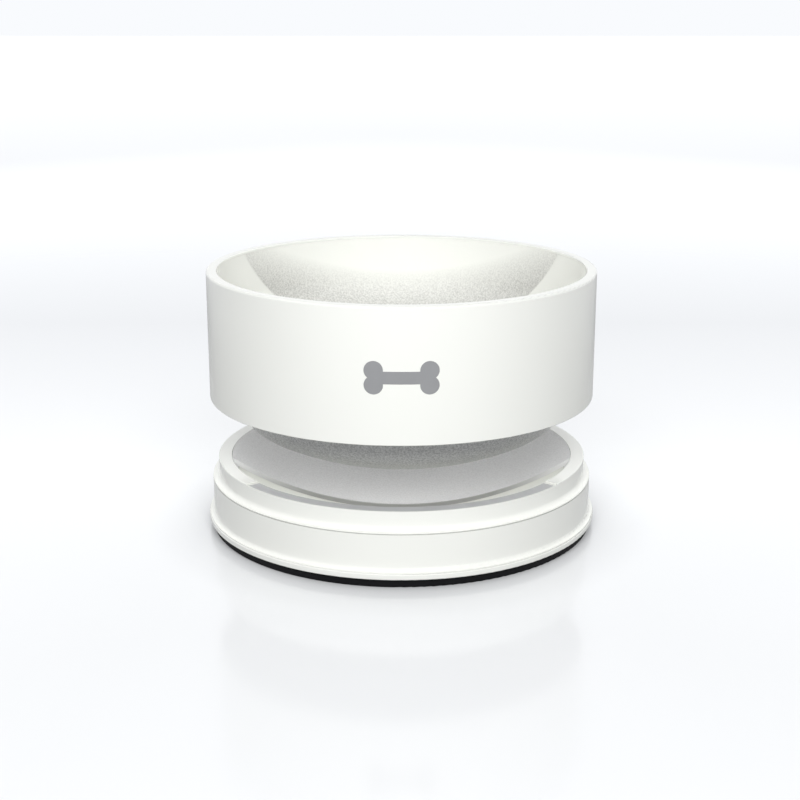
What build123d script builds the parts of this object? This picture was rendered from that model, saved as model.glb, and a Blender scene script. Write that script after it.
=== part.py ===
from build123d import *
import math
import os

# Pet food bowl in two halves: a round bowl with a bulging underside, and a base with a hollow
# seat of the same curve. The bowl is modelled lifted off its seat, as it is when taken away.
# Origin: centre of the foot ring's underside. +Z is up and the front faces -Y. Millimetres.

# Base, outside
body_radius = 74.8
lip_overhang = 1.9
lip_thickness = 2.2
body_height = 14.9
ledge_width = 2.4
ring_width = 5.2
ledge_sweep = 1.9
flare_setback = 0.3
flare_edge = 0.4
flare_sweep = 1.5
line_size = 0.35
line_drop = 0.4
shell_wall = 2.4
cup_wall = 2.4

# Foot ring and base plate
foot_height = 3.4
foot_setback = 1.5
foot_width = 9.5
flange_thickness = 1.6
plate_thickness = 2.0
pan_wall = 2.0

# Ballast disc
ballast_thickness = 2.0
ballast_edge_gap = 0.5
ballast_top_gap = 0.2

# Seat and the pocket in front of it
seat_radius = 123.7
seat_thickness = 1.8
seat_skirt = 2.0
pocket_plane = 12.0
pocket_floor_thickness = 1.6
seat_floor_gap = 0.25
seat_edge_round = 0.5
web_setback = 0.6
web_thickness = 2.0
shelf_drop = 13.1
shelf_thickness = 2.0
shelf_width = 13.2
seat_boss_inset = 7.2
seat_boss_radius = 3.5

# Soft pad let into the front of the ring
pad_half_angle = 52.0
notch_end_gap = 1.0
notch_depth = 0.45
pad_thickness = 1.0
pad_border = 0.6
pad_end_gap = 0.1

# Bowl
bowl_radius = 75.0
skirt_height = 49.3
rim_wall = 4.0
rim_band = 1.0
lower_wall = 2.0
cap_drop = 26.72
cap_inset = 9.0
cap_thickness = 2.4
support_wall = 2.0
recess_depth = 3.3
cover_thickness = 2.0
dish_depth = 48.0
dish_floor_radius = 124.0
dish_wall = 1.8
dish_corner_radius = 14.0
dish_rim_gap = 0.05
seal_width = 0.8
seal_thickness = 0.8
cover_boss_radius = 3.2
boss_dish_gap = 1.0

# How far the bowl is held above its seat here, and its gap to the seat when it stands in it
bowl_lift = 17.4
seat_clearance = 0.3

# Plain inlaid figure on the front of the bowl
inlay_height = 24.4
inlay_length = 26.0
inlay_bar_height = 4.4
inlay_lobe_radius = 3.3
inlay_lobe_spread = 2.6
inlay_depth = 0.6
inlay_gap = 0.04

# Screws
screw_radius = 1.5
screw_head_radius = 2.8
screw_head_height = 2.0
screw_hole_gap = 0.2
screw_pilot_gap = 0.05
pilot_reserve = 0.5
head_pocket_gap = 0.4
drive_radius = 1.0
drive_depth = 1.1
base_screw_length = 11.0
cover_screw_length = 9.0
seat_screw_bite = 0.8
base_screw_count = 4
cover_screw_count = 6
seat_screw_angles = (20.0, 90.0, 160.0)

# Small edges and working gaps
fit_gap = 0.2
edge_round = 0.8
small_round = 0.4
overcut = 1.0

# Levels of the base, from the ground up
flange_top = foot_height + flange_thickness
lip_top = foot_height + lip_thickness
ledge_z = lip_top + body_height
pocket_floor_z = flange_top + fit_gap
pocket_floor_top = pocket_floor_z + pocket_floor_thickness
pan_top = pocket_floor_z - ballast_top_gap - ballast_thickness
pan_bottom = pan_top - plate_thickness

# Radii of the base
lip_radius = body_radius + lip_overhang
foot_radius = lip_radius - foot_setback
flare_radius = lip_radius - flare_setback
flare_z = lip_top + flare_edge
line_top = ledge_z - line_drop
foot_inner_radius = foot_radius - foot_width
spigot_radius = body_radius - ledge_width
ring_radius = spigot_radius - ring_width
seat_boss_circle = ring_radius - seat_boss_inset
shelf_inner_radius = ring_radius - shelf_width
pan_radius = foot_inner_radius - fit_gap
body_inner = body_radius - shell_wall
cup_outer = ring_radius + cup_wall
base_screw_circle = (cup_outer + body_inner) / 2

# The seat's sphere: its underside clears the pocket floor at the pocket's plane
seat_under = seat_radius + seat_thickness
seat_centre = pocket_floor_top + seat_floor_gap + math.sqrt(seat_under**2 - pocket_plane**2)
base_height = seat_centre - math.sqrt(seat_radius**2 - ring_radius**2)
shelf_top = base_height - shelf_drop
shelf_bottom = shelf_top - shelf_thickness

# Levels and radii of the bowl
cap_radius = seat_radius - seat_clearance
cap_centre = seat_centre + bowl_lift
cap_inner = cap_radius - cap_thickness
skirt_z = cap_centre - cap_radius + cap_drop
rim_z = skirt_z + skirt_height
rim_radius = bowl_radius - rim_wall
lower_radius = bowl_radius - lower_wall
step_z = rim_z - rim_band
dish_top = step_z - dish_rim_gap
seal_z = dish_top - seal_thickness
dish_centre = rim_z - dish_depth + dish_floor_radius
dish_under = dish_floor_radius + dish_wall
dish_radius = lower_radius - fit_gap
seal_inner = dish_radius - seal_width
cover_z = skirt_z + recess_depth
cover_top = cover_z + cover_thickness
cap_edge_radius = bowl_radius - cap_inset
support_inner = cap_edge_radius - support_wall
cover_screw_circle = (cap_edge_radius + lower_radius) / 2


def sphere_z(radius, centre, r):
    """Height of the lower half of a sphere on the axis, at distance r from the axis."""
    return centre - math.sqrt(radius**2 - r**2)


def cap_arc(radius, centre, r_start, r_end):
    """Arc of a sphere's lower half in the profile plane, from r_start to r_end."""
    r_mid = (r_start + r_end) / 2
    ends = [(r, sphere_z(radius, centre, r)) for r in (r_start, r_mid, r_end)]
    return ThreePointArc(*ends)


def bulge(radius, wall):
    """Half outline of the cap: a sphere's arc, then a tighter arc that turns up into the wall.

    The tighter arc's centre lies level with the flange, so it ends there, upright.
    """
    height = cap_centre - cover_z
    bend = (radius**2 - wall**2 - height**2) / (2 * (radius - wall))
    reach = radius / (radius - bend)
    turn = math.atan2(height, wall - bend) / 2
    corner = (wall - bend + bend * math.cos(turn), cover_z - bend * math.sin(turn))
    meeting = ((wall - bend) * reach, cap_centre - height * reach)
    middle = (meeting[0] / 2, sphere_z(radius, cap_centre, meeting[0] / 2))
    bottom = (0, cap_centre - radius)
    return [ThreePointArc(bottom, middle, meeting), ThreePointArc(meeting, corner, (wall, cover_z))]


def turned(edges, rounds=()):
    """Solid of revolution of a closed profile; rounds are (point, radius) of its corners."""
    face = make_face(edges)
    for point, radius in rounds:
        corner = face.vertices().sort_by_distance(Vector(*point, 0))[0]
        face = fillet(corner, radius)
    return revolve(Plane.XZ * face, Axis.Z, 360)


def tube(outer, inner, low, high):
    """Plain ring between two levels."""
    ring = Cylinder(outer, high - low, align=(Align.CENTER, Align.CENTER, Align.MIN))
    bore = Cylinder(inner, high - low, align=(Align.CENTER, Align.CENTER, Align.MIN))
    return Pos(0, 0, low) * (ring - bore)


def post(radius, low, high, circle, angle):
    """Upright cylinder at a distance and an angle from the axis."""
    rod = Cylinder(radius, high - low, align=(Align.CENTER, Align.CENTER, Align.MIN))
    return Rot(0, 0, angle) * Pos(circle, 0, low) * rod


def slab(low_y, high_y, low_z, high_z):
    """Block across the whole base between two planes of y and two levels."""
    width = 2 * lip_radius
    block = Box(width, high_y - low_y, high_z - low_z, align=(Align.CENTER, Align.MIN, Align.MIN))
    return Pos(0, low_y, low_z) * block


def front_point(reach, angle):
    """Point on the ground at a distance from the axis and an angle from the front."""
    turn = math.radians(angle)
    return (reach * math.sin(turn), -reach * math.cos(turn))


def front_sector(outer, inner, low, high, half_angle):
    """Part of a ring that spans half_angle degrees to each side of the front."""
    left = front_point(2 * outer, -half_angle)
    right = front_point(2 * outer, half_angle)
    outline = Polyline((0, 0), left, front_point(4 * outer, 0), right, close=True)
    wedge = Pos(0, 0, low) * extrude(make_face(outline), high - low)
    return tube(outer, inner, low, high) & wedge


def base_screw_angles():
    return [45 + k * 360 / base_screw_count for k in range(base_screw_count)]


def cover_screw_angles():
    return [30 + k * 360 / cover_screw_count for k in range(cover_screw_count)]


def screw(head_low, length, circle, angle):
    """Pan head screw, driven upwards: its head hangs below the shank."""
    head_high = head_low + screw_head_height
    head = post(screw_head_radius, head_low, head_high, circle, angle)
    rim = head.edges().filter_by(GeomType.CIRCLE).sort_by(Axis.Z)[0]
    head = fillet(rim, screw_head_height / 3)
    shank = post(screw_radius, head_high, head_high + length, circle, angle)
    drive = post(drive_radius, head_low, head_low + drive_depth, circle, angle)
    return head + shank - drive


def make_base_shell():
    """Glossy outer moulding: body, ledge, raised ring, cup wall, pocket and screw bosses.

    The body flares out to the lip below, and a fine line runs round it just under the ledge.
    """
    profile = Polyline(
        (body_inner, lip_top),
        (flare_radius, lip_top),
        (flare_radius, flare_z),
        (body_radius, flare_z),
        (body_radius, line_top - line_size),
        (body_radius - line_size, line_top - line_size),
        (body_radius - line_size, line_top),
        (body_radius, line_top),
        (body_radius, ledge_z),
        (spigot_radius, ledge_z),
        (spigot_radius, base_height),
        (ring_radius, base_height),
        (ring_radius, pocket_floor_z),
        (cup_outer, pocket_floor_z),
        (cup_outer, ledge_z - shell_wall),
        (body_inner, ledge_z - shell_wall),
        close=True,
    )
    rounds = [
        ((body_radius, flare_z), flare_sweep),
        ((body_radius, ledge_z), small_round / 2),
        ((spigot_radius, ledge_z), ledge_sweep),
        ((spigot_radius, base_height), small_round),
        ((ring_radius, base_height), small_round / 2),
    ]
    shell = turned(profile, rounds)
    inside = Cylinder(ring_radius, 2 * base_height, align=(Align.CENTER, Align.CENTER, Align.CENTER))
    web_front = -pocket_plane + web_setback
    floor = slab(-body_radius, web_front + web_thickness, pocket_floor_z, pocket_floor_top)
    web = slab(web_front, web_front + web_thickness, pocket_floor_z, base_height)
    web = (web & inside) - Pos(0, 0, seat_centre) * Sphere(seat_under + fit_gap / 2)
    web -= tube(body_radius, ring_radius - seat_skirt - fit_gap, shelf_top, base_height)
    shelf = tube(cup_outer, shelf_inner_radius, shelf_bottom, shelf_top)
    shelf = shelf & slab(web_front, body_radius, shelf_bottom, shelf_top)
    shell = shell + (floor & inside) + web + shelf
    for angle in base_screw_angles():
        boss_radius = (body_radius - ring_radius) / 2 - fit_gap / 2
        pilot_top = foot_height + base_screw_length + pilot_reserve
        shell += post(boss_radius, lip_top, ledge_z - shell_wall, base_screw_circle, angle)
        pilot_low = pocket_floor_z
        shell -= post(screw_radius + screw_pilot_gap, pilot_low, pilot_top, base_screw_circle, angle)
    for angle in seat_screw_angles:
        hole = post(screw_radius + screw_hole_gap, shelf_bottom, shelf_top, seat_boss_circle, angle)
        shell -= hole
    notch_floor = base_height - notch_depth
    notch_angle = pad_half_angle + notch_end_gap
    notch_inner = ring_radius - overcut
    shell -= front_sector(body_radius, notch_inner, notch_floor, base_height + overcut, notch_angle)
    groove = front_sector(
        spigot_radius - pad_border,
        notch_inner,
        notch_floor - pad_thickness,
        notch_floor,
        pad_half_angle,
    )
    return shell - groove


def make_tilt_pad():
    """Soft strip in the ring's front, where the bowl's edge lands when it is tipped forward."""
    notch_floor = base_height - notch_depth
    return front_sector(
        spigot_radius - pad_border - screw_pilot_gap,
        ring_radius,
        notch_floor - pad_thickness,
        notch_floor,
        pad_half_angle - pad_end_gap,
    )


def make_seat():
    """Grained hollow seat with a short skirt that stands on the shell's shelf."""
    outer = ring_radius - fit_gap / 2
    inner = outer - seat_skirt
    profile = [
        cap_arc(seat_radius, seat_centre, 0, outer),
        Polyline(
            (outer, sphere_z(seat_radius, seat_centre, outer)),
            (outer, shelf_top),
            (inner, shelf_top),
            (inner, sphere_z(seat_under, seat_centre, inner)),
        ),
        cap_arc(seat_under, seat_centre, inner, 0),
        Line((0, seat_centre - seat_under), (0, seat_centre - seat_radius)),
    ]
    seat = turned(profile)
    for angle in seat_screw_angles:
        boss = post(seat_boss_radius, shelf_top, base_height, seat_boss_circle, angle)
        boss -= Pos(0, 0, seat_centre) * Sphere(seat_under)
        seat += boss
    seat -= slab(-body_radius - overcut, -pocket_plane, 0, base_height + overcut)
    for angle in seat_screw_angles:
        pilot = screw_radius + screw_pilot_gap
        seat -= post(pilot, shelf_top - overcut, seat_screw_tip(), seat_boss_circle, angle)
    front = seat.faces().sort_by(Axis.Y)[0]
    arcs = front.edges().filter_by(GeomType.CIRCLE)
    return fillet(arcs.sort_by(lambda e: e.radius)[0], seat_edge_round)


def seat_screw_tip():
    """Top of the pilot holes: just inside the seat's thickness."""
    return sphere_z(seat_under, seat_centre, seat_boss_circle) + seat_screw_bite


def make_seat_screws():
    length = seat_screw_tip() - pilot_reserve / 2 - shelf_bottom
    head_low = shelf_bottom - screw_head_height
    return [screw(head_low, length, seat_boss_circle, angle) for angle in seat_screw_angles]


def make_base_plate():
    """Bottom plate: a shallow pan for the ballast, and the lip that shows under the body."""
    step = body_inner - fit_gap
    profile = Polyline(
        (0, pan_bottom),
        (pan_radius, pan_bottom),
        (pan_radius, foot_height),
        (lip_radius, foot_height),
        (lip_radius, lip_top),
        (step, lip_top),
        (step, flange_top),
        (pan_radius - pan_wall, flange_top),
        (pan_radius - pan_wall, pan_top),
        (0, pan_top),
        close=True,
    )
    rounds = [((lip_radius, foot_height), small_round), ((lip_radius, lip_top), small_round)]
    plate = turned(profile, rounds)
    for angle in base_screw_angles():
        low = foot_height - overcut
        high = flange_top + overcut
        plate -= post(screw_radius + screw_hole_gap, low, high, base_screw_circle, angle)
    return plate


def make_ballast():
    """Steel disc that keeps the base from sliding and tipping."""
    radius = pan_radius - pan_wall - ballast_edge_gap
    disc = Cylinder(radius, ballast_thickness, align=(Align.CENTER, Align.CENTER, Align.MIN))
    disc = Pos(0, 0, pan_top) * disc
    return chamfer(disc.edges().filter_by(GeomType.CIRCLE), small_round)


def make_base_screws():
    head_low = foot_height - screw_head_height
    length = base_screw_length
    return [screw(head_low, length, base_screw_circle, angle) for angle in base_screw_angles()]


def make_foot_ring():
    """Black rubber foot that covers the base screws."""
    profile = Polyline(
        (foot_inner_radius, 0),
        (foot_radius, 0),
        (foot_radius, foot_height),
        (foot_inner_radius, foot_height),
        close=True,
    )
    rounds = [((foot_radius, 0), edge_round), ((foot_inner_radius, 0), small_round)]
    ring = turned(profile, rounds)
    for angle in base_screw_angles():
        radius = screw_head_radius + head_pocket_gap
        low = foot_height - screw_head_height - fit_gap
        ring -= post(radius, low, foot_height, base_screw_circle, angle)
    return ring


def figure(gap):
    """Plain bone outline for the front, grown by gap, swept straight back through the wall."""
    half = inlay_length / 2 - inlay_lobe_radius
    shape = Rectangle(2 * half, inlay_bar_height + 2 * gap)
    for side in (-1, 1):
        for end in (-1, 1):
            shape += Pos(end * half, side * inlay_lobe_spread) * Circle(inlay_lobe_radius + gap)
    place = Plane(origin=(0, -2 * bowl_radius, skirt_z + inlay_height), x_dir=(1, 0, 0), z_dir=(0, -1, 0))
    return extrude(place * shape, -1.5 * bowl_radius)


def inlay_band(depth, outer):
    return tube(outer, bowl_radius - depth, skirt_z, rim_z)


def make_front_inlay():
    """Flush figure let into the outside of the bowl."""
    return figure(0) & inlay_band(inlay_depth - inlay_gap, bowl_radius)


def make_bowl_shell():
    """Glossy outer wall of the bowl with the flat rim, and the bosses for its bottom cover."""
    profile = Polyline(
        (bowl_radius, skirt_z),
        (bowl_radius, rim_z),
        (rim_radius, rim_z),
        (rim_radius, step_z),
        (lower_radius, step_z),
        (lower_radius, skirt_z),
        close=True,
    )
    rounds = [
        ((bowl_radius, rim_z), edge_round),
        ((rim_radius, rim_z), small_round),
        ((bowl_radius, skirt_z), small_round),
        ((lower_radius, skirt_z), small_round),
    ]
    shell = turned(profile, rounds)
    boss_edge = cover_screw_circle - cover_boss_radius
    boss_top = sphere_z(dish_under, dish_centre, boss_edge) - boss_dish_gap
    for angle in cover_screw_angles():
        boss = post(cover_boss_radius, cover_top, boss_top, cover_screw_circle, angle)
        length = (lower_radius + bowl_radius) / 2 - cover_screw_circle
        rise = boss_top - cover_top
        rib = Box(length, cover_boss_radius, rise, align=(Align.MIN, Align.CENTER, Align.MIN))
        boss += Rot(0, 0, angle) * Pos(cover_screw_circle, 0, cover_top) * rib
        shell += boss
        pilot_top = cover_z + cover_screw_length + pilot_reserve
        shell -= post(screw_radius + screw_pilot_gap, cover_top, pilot_top, cover_screw_circle, angle)
    return shell - (figure(inlay_gap) & inlay_band(inlay_depth, bowl_radius + overcut))


def make_dish_seal():
    """Silicone ring in the notch round the dish's edge, under the shell's step."""
    return tube(lower_radius - screw_pilot_gap, seal_inner + screw_pilot_gap, seal_z, step_z)


def make_dish():
    """Grained food dish: straight wall, rounded corner and a gently hollow floor."""
    inner_corner = (rim_radius, sphere_z(dish_floor_radius, dish_centre, rim_radius))
    outer_corner = (dish_radius, sphere_z(dish_under, dish_centre, dish_radius))
    profile = [
        cap_arc(dish_floor_radius, dish_centre, 0, rim_radius),
        Polyline(
            inner_corner,
            (rim_radius, dish_top),
            (seal_inner, dish_top),
            (seal_inner, seal_z),
            (dish_radius, seal_z),
            outer_corner,
        ),
        cap_arc(dish_under, dish_centre, dish_radius, 0),
        Line((0, dish_centre - dish_under), (0, dish_centre - dish_floor_radius)),
    ]
    rounds = [
        (inner_corner, dish_corner_radius),
        (outer_corner, dish_corner_radius + dish_wall),
    ]
    return turned(profile, rounds)


def make_bottom_cover():
    """Closes the bowl below: a bulging cap, a wall that carries the dish, and a screwed flange."""
    support_top = sphere_z(dish_under, dish_centre, support_inner)
    profile = [
        *bulge(cap_radius, cap_edge_radius),
        Polyline(
            (cap_edge_radius, cover_z),
            (dish_radius, cover_z),
            (dish_radius, cover_top),
            (cap_edge_radius, cover_top),
            (cap_edge_radius, support_top),
            (support_inner, support_top),
            (support_inner, cover_z),
        ),
        *bulge(cap_inner, support_inner),
        Line((0, cap_centre - cap_inner), (0, cap_centre - cap_radius)),
    ]
    cover = turned(profile)
    for angle in cover_screw_angles():
        low = cover_z - overcut
        high = cover_top + overcut
        cover -= post(screw_radius + screw_hole_gap, low, high, cover_screw_circle, angle)
    return cover


def make_cover_screws():
    head_low = cover_z - screw_head_height
    length = cover_screw_length
    return [screw(head_low, length, cover_screw_circle, angle) for angle in cover_screw_angles()]


def save(name, shape):
    """Write one node; a list becomes a group of separate solids."""
    solids = []
    for item in shape if isinstance(shape, list) else [shape]:
        solids += item.solids()
    body = solids[0] if len(solids) == 1 else Compound(children=solids)
    export_step(body, f"parts/{name}.step")


def main():
    os.makedirs("parts", exist_ok=True)
    save("base_shell", make_base_shell())
    save("tilt_pad", make_tilt_pad())
    save("seat", make_seat())
    save("seat_screws", make_seat_screws())
    save("base_plate", make_base_plate())
    save("ballast_disc", make_ballast())
    save("base_screws", make_base_screws())
    save("foot_ring", make_foot_ring())
    save("bowl_shell", make_bowl_shell())
    save("front_inlay", make_front_inlay())
    save("dish_seal", make_dish_seal())
    save("dish", make_dish())
    save("bottom_cover", make_bottom_cover())
    save("cover_screws", make_cover_screws())
    print("levels", round(ledge_z, 2), round(base_height, 2), round(skirt_z, 2), round(rim_z, 2))


main()
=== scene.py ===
import math

import bpy
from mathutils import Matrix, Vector


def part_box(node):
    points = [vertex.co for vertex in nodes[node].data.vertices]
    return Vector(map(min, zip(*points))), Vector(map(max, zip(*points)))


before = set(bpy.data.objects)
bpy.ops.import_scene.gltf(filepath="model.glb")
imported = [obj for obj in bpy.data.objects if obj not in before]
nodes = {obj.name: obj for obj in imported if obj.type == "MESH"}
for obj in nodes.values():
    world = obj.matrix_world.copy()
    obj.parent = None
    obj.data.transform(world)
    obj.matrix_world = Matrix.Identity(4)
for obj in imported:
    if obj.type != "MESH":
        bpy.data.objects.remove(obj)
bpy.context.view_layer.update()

# A white pet food bowl, lifted off its base, in a bright photo studio. Metres; the front faces -Y.
MM = 0.001
bowl_low, bowl_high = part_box("bowl_shell")
foot_low, foot_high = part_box("foot_ring")
seat_low, seat_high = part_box("seat")

# Camera: its place, how far it looks down in degrees, and its focal length in pixels of the image
IMAGE = 800
FOCAL_PX = 1457.27
SENSOR = 36.0
CAMERA_PITCH = 15.815
CAMERA_AT = (-0.54 * MM, -555.47 * MM, 205.49 * MM)
CAMERA_CLIP = (0.01, 20.0)

# ABS, the plastic of nearly every piece: its refractive index and its white
ABS_IOR = 1.54
ABS_WHITE = "#F3F4EF"

# Grain of spark-eroded moulds: real grain is a few hundredths of a millimetre wide, too fine to show, so
# it is drawn as coarse as it has to be to show
GRAIN_SIZE = 0.65 * MM
GRAIN_DEPTH = 0.1 * MM

# The dish's polished cheeks: the arc's centre above the rim, its radius, the width of the change, and
# the distances from the axis between which the cheeks fade out at the foot of the wall
CHEEK_ARC_RISE = 19.2 * MM
CHEEK_ARC_RADIUS = 66.7 * MM
CHEEK_BLEND = 0.4 * MM
CHEEK_FOOT = (68.5 * MM, 70.0 * MM)

# Where the dish's painted shade and the darkness of its grain's pits start and are full: distances from
# a point on the axis above the rim. On the floor they are weaker, up to full strength between these
# distances from the axis.
PIT_AND_SHADE_ARC_RISE = 92.0 * MM
PIT_AND_SHADE_ARC = (107.0 * MM, 122.0 * MM)
PIT_AND_SHADE_FLOOR = (40.0 * MM, 66.0 * MM)
PIT_AND_SHADE_FLOOR_SHARE = 0.4

# The painted shade on the seat's cut edge: its depth from the edge, and between which distances to
# either side it fades
SEAT_EDGE = 0.3 * MM
SEAT_EDGE_SHADE_SPAN = (36.0 * MM, 64.0 * MM)

# How far from an inner corner the painted shade reaches
CORNER_SHADE_REACH = 0.5 * MM

# Studio surround: what is seen of it, and how strongly it lights the object
BACKDROP = "#F9FBFE"
SURROUND_FILL = 0.06

# Floor: its size and its gap below the foot, so that the two faces don't coincide
FLOOR_SIZE = 12.0
FLOOR_GAP = 0.05 * MM

# The floor's colour for the light it gives back, its seen colour near the object and far behind it, and
# the glow added to each; the glow fades as a painted contact shadow in the corner under the object, within
# the shade's reach
FLOOR_COLOUR = "#A4A5A6"
FLOOR_SEEN_COLOUR = "#BEBFC0"
FLOOR_LIFT = 0.38
FLOOR_FAR = (0.08, 0.35)
FLOOR_FAR_COLOUR = "#7D7E80"
FLOOR_FAR_LIFT = 0.44
FLOOR_SHADE_REACH = 0.028

# The zone behind the object where the floor's glow is dimmed in gloss only, a painted reflection that
# darkens the white walls' edges as a grey card would: half its width and where it starts, each from one
# end of the change to the other
EDGE_ZONE = (0.20, 0.42)
EDGE_ZONE_START = (-0.05, 0.03)

# Soft lamps at one distance from the object: azimuth from the front, elevation, size and watts
LAMP_DISTANCE = 1.2
LAMP_AIM = (0.0, 0.0, 0.06)
LAMPS = {
    "front_softbox": (0, 37, (0.9, 0.45), 15.6),
    "back_softbox_left": (-145, 20, (1.4, 0.38), 10.5),
    "back_softbox_right": (145, 20, (1.4, 0.38), 10.5),
}

# Places of the colours among the Mix node's sockets
MIX_LOW = 6
MIX_HIGH = 7
MIX_RESULT = 2


def linear(hex_colour):
    """sRGB hex colour as linear RGBA."""
    parts = [int(hex_colour[i:i + 2], 16) / 255 for i in (1, 3, 5)]
    rgb = [c / 12.92 if c <= 0.04045 else ((c + 0.055) / 1.055) ** 2.4 for c in parts]
    return (*rgb, 1.0)


def add_node(tree, kind, settings=None, inputs=None, links=None):
    """Adds a node; settings are its own properties, inputs are values and links are sockets."""
    node = tree.nodes.new(kind)
    for name, value in (settings or {}).items():
        setattr(node, name, value)
    for name, value in (inputs or {}).items():
        node.inputs[name].default_value = value
    for name, socket in (links or {}).items():
        tree.links.new(socket, node.inputs[name])
    return node


def new_material(name, colour, roughness, ior=1.5, metallic=0.0):
    """A material with its shader's constants set; returns the material, its tree and its shader."""
    material = bpy.data.materials.new(name)
    material.use_nodes = True
    tree = material.node_tree
    shader = tree.nodes["Principled BSDF"]
    shader.inputs["Base Color"].default_value = linear(colour)
    shader.inputs["Roughness"].default_value = roughness
    shader.inputs["IOR"].default_value = ior
    shader.inputs["Metallic"].default_value = metallic
    return material, tree, shader


def object_point(tree):
    """The shaded place on the piece, in metres."""
    return add_node(tree, "ShaderNodeTexCoord").outputs["Object"]


def split_point(tree, point):
    """The X, Y and Z of a place."""
    return add_node(tree, "ShaderNodeSeparateXYZ", links={"Vector": point}).outputs


def maths(tree, operation, first, second=0.0):
    """One Math node on two inputs, each a number or a socket."""
    node = add_node(tree, "ShaderNodeMath", settings={"operation": operation})
    for socket, value in zip(node.inputs, (first, second)):
        if isinstance(value, (int, float)):
            socket.default_value = value
        else:
            tree.links.new(value, socket)
    return node.outputs["Value"]


def ramp(tree, value, low, high, start=0.0, end=1.0):
    """Straight change from start to end while the value goes from low to high."""
    limits = {"From Min": low, "From Max": high, "To Min": start, "To Max": end}
    node = add_node(tree, "ShaderNodeMapRange", inputs=limits, links={"Value": value})
    return node.outputs["Result"]


def noise(tree, point, size, detail=2.0):
    """Noise with features of the given size in metres, about 0.5 on average."""
    settings = {"Scale": 1 / size, "Detail": detail}
    return add_node(tree, "ShaderNodeTexNoise", inputs=settings, links={"Vector": point}).outputs["Fac"]


def relief(tree, shader, height, depth, strength):
    """Bump of a height pattern whose full rise is depth metres."""
    amounts = {"Strength": strength, "Distance": depth}
    node = add_node(tree, "ShaderNodeBump", inputs=amounts, links={"Height": height})
    tree.links.new(node.outputs["Normal"], shader.inputs["Normal"])


def shade_mix(tree, fraction, low, high):
    """Colour between two, each an sRGB hex colour or a colour socket."""
    node = add_node(tree, "ShaderNodeMix", settings={"data_type": "RGBA"}, links={"Factor": fraction})
    for place, colour in ((MIX_LOW, low), (MIX_HIGH, high)):
        if isinstance(colour, str):
            node.inputs[place].default_value = linear(colour)
        else:
            tree.links.new(colour, node.inputs[place])
    return node.outputs[MIX_RESULT]


def corner_openness(tree, distance, samples=16):
    """1 on open surfaces, less in corners within this distance."""
    settings = {"samples": samples}
    node = add_node(tree, "ShaderNodeAmbientOcclusion", settings=settings, inputs={"Distance": distance})
    return node.outputs["AO"]


def reach(tree, first, second):
    """Length of the line with these two components."""
    squares = [maths(tree, "POWER", part, 2.0) for part in (first, second)]
    return maths(tree, "SQRT", maths(tree, "ADD", *squares))


def arc_distance(tree, place, rise):
    """Distance, seen from the front, from a point on the axis at this height above the rim."""
    return reach(tree, place["X"], maths(tree, "SUBTRACT", place["Z"], bowl_high.z + rise))


def moulded_gloss_abs():
    """Polished ABS: near white and mirror smooth, faintly wavy where the plastic shrank as it cooled.

    Painted shade darkens the corners between its steps.
    """
    material, tree, shader = new_material("moulded_gloss_abs", ABS_WHITE, 0.1, ior=ABS_IOR)
    point = object_point(tree)
    sink = noise(tree, point, 22 * MM, detail=1.0)
    relief(tree, shader, sink, 0.3 * MM, 0.03)
    wear = noise(tree, point, 30 * MM, detail=4.0)
    tree.links.new(ramp(tree, wear, 0.3, 0.7, 0.08, 0.12), shader.inputs["Roughness"])
    unshaded_share = ramp(tree, corner_openness(tree, CORNER_SHADE_REACH, samples=8), 0.5, 0.95)
    # painted shade: the colour darkens to this grey in the inner corners
    tree.links.new(shade_mix(tree, unshaded_share, "#D8D9D4", ABS_WHITE), shader.inputs["Base Color"])
    return material


def textured_abs(name, high_colour, pit_colour):
    """Spark-eroded ABS: fine even grain that scatters the light, with darker pits."""
    material, tree, shader = new_material(name, high_colour, 0.5, ior=ABS_IOR)
    grain = noise(tree, object_point(tree), GRAIN_SIZE)
    relief(tree, shader, grain, GRAIN_DEPTH, 0.5)
    flats = ramp(tree, grain, 0.35, 0.65)
    colour = shade_mix(tree, flats, pit_colour, high_colour)
    tree.links.new(colour, shader.inputs["Base Color"])
    return material, tree, shader, colour


def shaded_cover_abs():
    """The bottom cover's grained ABS, painted a little greyer than the seat as shade under the bowl."""
    return textured_abs("shaded_cover_abs", "#E8E8E7", "#BEBEBD")[0]


def seat_abs():
    """The seat's grained ABS, lighter as painted light; its cut edge, down in the pocket, is darker in the
    middle as painted shade.
    """
    # painted light: the seat's grain is made lighter than the cover's, the same plastic, to stand in for
    # light under the bowl
    material, tree, shader, grained = textured_abs("seat_abs", "#FAFAFA", "#EDEDED")
    place = split_point(tree, object_point(tree))
    edge = ramp(tree, place["Y"], seat_low.y + SEAT_EDGE, seat_low.y)
    aside = ramp(tree, maths(tree, "ABSOLUTE", place["X"]), *SEAT_EDGE_SHADE_SPAN)
    # painted shade: the cut edge is darker in the middle, where the bowl above shades it
    edge_shade = shade_mix(tree, aside, "#B0B0AE", "#F8F8F8")
    tree.links.new(shade_mix(tree, edge, grained, edge_shade), shader.inputs["Base Color"])
    return material


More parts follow.
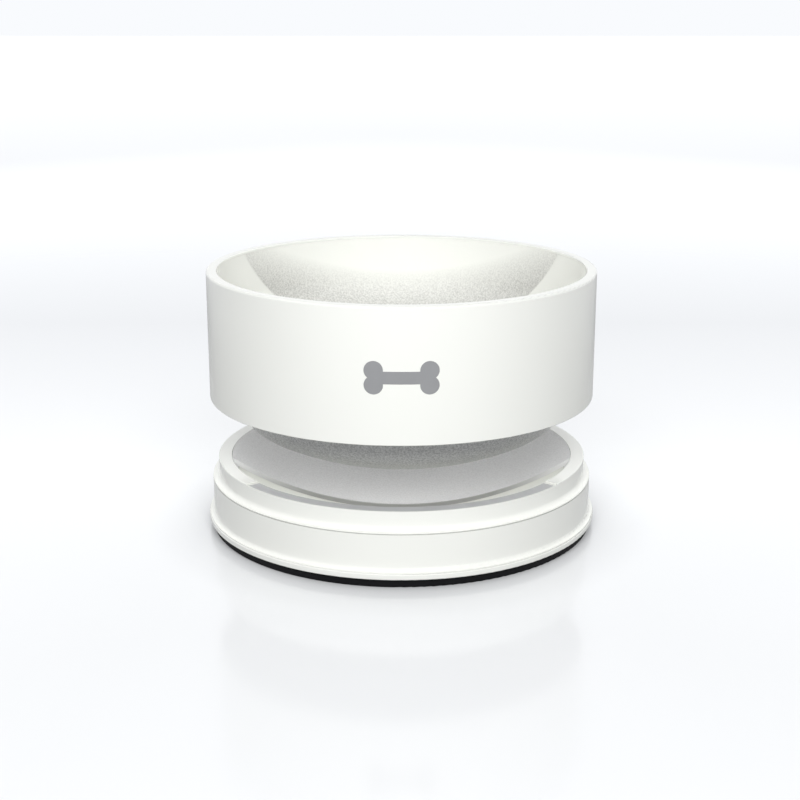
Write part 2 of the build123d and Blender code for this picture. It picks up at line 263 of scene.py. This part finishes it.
def dish_abs():
    """The dish's ABS: grained, with painted shade and the darkest grain pits round the foot of its wall,
    but with two polished cheeks.

    The cheeks are on the wall, left and right. Seen from the front, their outline is a round arc.
    """
    material, tree, shader = new_material("dish_abs", ABS_WHITE, 0.5, ior=ABS_IOR)
    point = object_point(tree)
    place = split_point(tree, point)
    from_axis = reach(tree, place["X"], place["Y"])
    outside = arc_distance(tree, place, CHEEK_ARC_RISE)
    cheek = ramp(tree, outside, CHEEK_ARC_RADIUS, CHEEK_ARC_RADIUS + CHEEK_BLEND)
    cheek = maths(tree, "MULTIPLY", cheek, ramp(tree, from_axis, *CHEEK_FOOT))
    grained = maths(tree, "SUBTRACT", 1.0, cheek)
    shade_depth = ramp(tree, arc_distance(tree, place, PIT_AND_SHADE_ARC_RISE), *PIT_AND_SHADE_ARC)
    shade_depth = maths(tree, "MULTIPLY", shade_depth, ramp(tree, from_axis, *PIT_AND_SHADE_FLOOR, PIT_AND_SHADE_FLOOR_SHARE, 1.0))
    grain = noise(tree, point, GRAIN_SIZE)
    relief(tree, shader, maths(tree, "MULTIPLY", grain, grained), GRAIN_DEPTH, 0.45)
    # painted shade: the dish darkens to this grey towards the foot of its wall, and its grain's pits with
    # it
    depth_shaded = shade_mix(tree, shade_depth, ABS_WHITE, "#D7D7D3")
    pits = maths(tree, "MULTIPLY", ramp(tree, grain, 0.65, 0.25), shade_depth)
    pitted = shade_mix(tree, pits, depth_shaded, "#B0B0AC")
    tree.links.new(shade_mix(tree, cheek, pitted, "#F1F2ED"), shader.inputs["Base Color"])
    tree.links.new(ramp(tree, cheek, 0.0, 1.0, 0.5, 0.12), shader.inputs["Roughness"])
    return material


def soft_elastomer():
    """Moulded thermoplastic elastomer: a soft even grey with a dry, slightly cloudy surface."""
    material, tree, shader = new_material("soft_elastomer", "#B9BABB", 0.55, ior=1.48)
    point = object_point(tree)
    relief(tree, shader, noise(tree, point, 0.4 * MM), 0.05 * MM, 0.4)
    cloud = noise(tree, point, 6 * MM)
    tree.links.new(shade_mix(tree, cloud, "#B2B3B4", "#C0C1C2"), shader.inputs["Base Color"])
    return material


def black_rubber():
    """Moulded nitrile rubber: deep black and dull, with a fine skin and a little dust in its hollows."""
    material, tree, shader = new_material("black_rubber", "#0A0A0C", 0.8, ior=1.35)
    point = object_point(tree)
    relief(tree, shader, noise(tree, point, 0.5 * MM), 0.08 * MM, 0.5)
    dust = noise(tree, point, 9 * MM, detail=4.0)
    tree.links.new(shade_mix(tree, dust, "#060608", "#0E0E10"), shader.inputs["Base Color"])
    return material


def inlay_plastic():
    """Satin grey ABS of the figure: colour in the plastic, with a fine matt skin."""
    material, tree, shader = new_material("inlay_plastic", "#929395", 0.38, ior=ABS_IOR)
    point = object_point(tree)
    relief(tree, shader, noise(tree, point, 0.35 * MM), 0.03 * MM, 0.3)
    cloud = noise(tree, point, 5 * MM)
    tree.links.new(shade_mix(tree, cloud, "#8F9092", "#959698"), shader.inputs["Base Color"])
    return material


def silicone():
    """Pressed silicone of the dish's seal: milky and a little soft in its shine."""
    material, tree, shader = new_material("silicone", "#DDDDDA", 0.35, ior=1.41)
    cloud = noise(tree, object_point(tree), 4 * MM)
    tree.links.new(shade_mix(tree, cloud, "#D4D4D1", "#E4E4E2"), shader.inputs["Base Color"])
    return material


def zinc_steel():
    """Zinc plated steel: pale bluish grey, satin, with the faint clouds of the plating bath."""
    material, tree, shader = new_material("zinc_steel", "#B8BABD", 0.32, metallic=1.0)
    cloud = noise(tree, object_point(tree), 3 * MM, detail=4.0)
    tree.links.new(shade_mix(tree, cloud, "#ABADB1", "#C4C6C9"), shader.inputs["Base Color"])
    tree.links.new(ramp(tree, cloud, 0.3, 0.7, 0.26, 0.4), shader.inputs["Roughness"])
    return material


def dress(names, material):
    """Gives these pieces one material all over."""
    for name in names:
        for slot in nodes[name].material_slots:
            slot.material = material


def make_camera():
    """The camera at the photograph's place, level from left to right."""
    data = bpy.data.cameras.new("camera")
    data.sensor_width = SENSOR
    data.lens = SENSOR * FOCAL_PX / IMAGE
    data.clip_start, data.clip_end = CAMERA_CLIP
    camera = bpy.data.objects.new("camera", data)
    camera.location = CAMERA_AT
    camera.rotation_euler = (math.radians(90 - CAMERA_PITCH), 0, 0)
    bpy.context.scene.collection.objects.link(camera)
    bpy.context.scene.camera = camera


def soft_lamp(name, azimuth, elevation, size, watts):
    """Rectangular lamp at a direction from the object, turned towards it; gloss doesn't mirror it."""
    data = bpy.data.lights.new(name, "AREA")
    data.shape = "RECTANGLE"
    data.size, data.size_y = size
    data.energy = watts
    turn = math.radians(azimuth)
    rise = math.radians(elevation)
    towards = Vector((math.sin(turn) * math.cos(rise), -math.cos(turn) * math.cos(rise), math.sin(rise)))
    lamp = bpy.data.objects.new(name, data)
    lamp.location = Vector(LAMP_AIM) + LAMP_DISTANCE * towards
    lamp.rotation_euler = towards.to_track_quat("Z", "Y").to_euler()
    lamp.visible_camera = False
    lamp.visible_glossy = False
    bpy.context.scene.collection.objects.link(lamp)


def seen_directly(tree):
    """1 for camera, glossy and transmission rays, 0 for the rays that carry light."""
    path = add_node(tree, "ShaderNodeLightPath").outputs
    mirrored = maths(tree, "MAXIMUM", path["Is Glossy Ray"], path["Is Transmission Ray"])
    return maths(tree, "MAXIMUM", path["Is Camera Ray"], mirrored)


def shader_mix(tree, fraction, low, high, output):
    """Joins two shader sockets by a fraction and leads them to the output."""
    mix = add_node(tree, "ShaderNodeMixShader", links={"Fac": fraction})
    tree.links.new(low, mix.inputs[1])
    tree.links.new(high, mix.inputs[2])
    tree.links.new(mix.outputs["Shader"], tree.nodes[output].inputs["Surface"])


def make_world():
    """A white surround that is seen at full strength and lights the object faintly."""
    world = bpy.data.worlds.new("studio")
    world.use_nodes = True
    tree = world.node_tree
    fill = tree.nodes["Background"]
    fill.inputs["Color"].default_value = linear("#FFFFFF")
    fill.inputs["Strength"].default_value = SURROUND_FILL
    white = add_node(tree, "ShaderNodeBackground", inputs={"Color": linear(BACKDROP), "Strength": 1.0})
    seen = seen_directly(tree)
    shader_mix(tree, seen, fill.outputs["Background"], white.outputs["Background"], "World Output")
    bpy.context.scene.world = world


def floor_glow(tree, place, far):
    """The floor's added glow: less in the object's corner, a painted contact shadow, and less in gloss
    where a grey card would lie, a painted reflection.
    """
    path = add_node(tree, "ShaderNodeLightPath").outputs
    # painted reflection: the floor's glow is dimmed for gloss only, in a zone behind the object
    aside = ramp(tree, maths(tree, "ABSOLUTE", place["X"]), *EDGE_ZONE, 1.0, 0.0)
    behind = ramp(tree, place["Y"], *EDGE_ZONE_START)
    gloss_dim = maths(tree, "MULTIPLY", maths(tree, "MULTIPLY", aside, behind), path["Is Glossy Ray"])
    lift = ramp(tree, far, 0.0, 1.0, FLOOR_LIFT, FLOOR_FAR_LIFT)
    lift = maths(tree, "MULTIPLY", lift, maths(tree, "SUBTRACT", 1.0, gloss_dim))
    # painted contact shadow: the glow fades in the object's corner
    lift = maths(tree, "MULTIPLY", lift, corner_openness(tree, FLOOR_SHADE_REACH))
    colour = {"Color": linear(BACKDROP)}
    return add_node(tree, "ShaderNodeEmission", inputs=colour, links={"Strength": lift}).outputs["Emission"]


def make_floor():
    """Satin white acrylic sheet: it keeps the shadow and a faint mirror image of the object.

    Behind the object its glow is dimmed in gloss, a painted reflection as if a grey card lay there: that
    gives the white walls their darker edges.
    """
    bpy.ops.object.select_all(action="DESELECT")
    bpy.ops.mesh.primitive_plane_add(size=FLOOR_SIZE, location=(0, 0, foot_low.z - FLOOR_GAP))
    floor = bpy.context.object
    floor.name = "studio_floor"
    material, tree, shader = new_material("satin_white_acrylic", FLOOR_COLOUR, 0.12, ior=1.49)
    place = split_point(tree, object_point(tree))
    far = ramp(tree, place["Y"], *FLOOR_FAR)
    seen = seen_directly(tree)
    seen_colour = shade_mix(tree, far, FLOOR_SEEN_COLOUR, FLOOR_FAR_COLOUR)
    tree.links.new(shade_mix(tree, seen, FLOOR_COLOUR, seen_colour), shader.inputs["Base Color"])
    both = add_node(tree, "ShaderNodeAddShader")
    tree.links.new(shader.outputs["BSDF"], both.inputs[0])
    tree.links.new(floor_glow(tree, place, far), both.inputs[1])
    shader_mix(tree, seen, shader.outputs["BSDF"], both.outputs["Shader"], "Material Output")
    floor.data.materials.append(material)


make_camera()
make_world()
make_floor()
for name, setting in LAMPS.items():
    soft_lamp(name, *setting)
dress(["bowl_shell", "base_shell", "base_plate"], moulded_gloss_abs())
dress(["seat"], seat_abs())
dress(["bottom_cover"], shaded_cover_abs())
dress(["dish"], dish_abs())
dress(["tilt_pad"], soft_elastomer())
dress(["foot_ring"], black_rubber())
dress(["front_inlay"], inlay_plastic())
dress(["dish_seal"], silicone())
dress(["ballast_disc", "base_screws", "seat_screws", "cover_screws"], zinc_steel())

bpy.context.scene.view_settings.view_transform = "Standard"
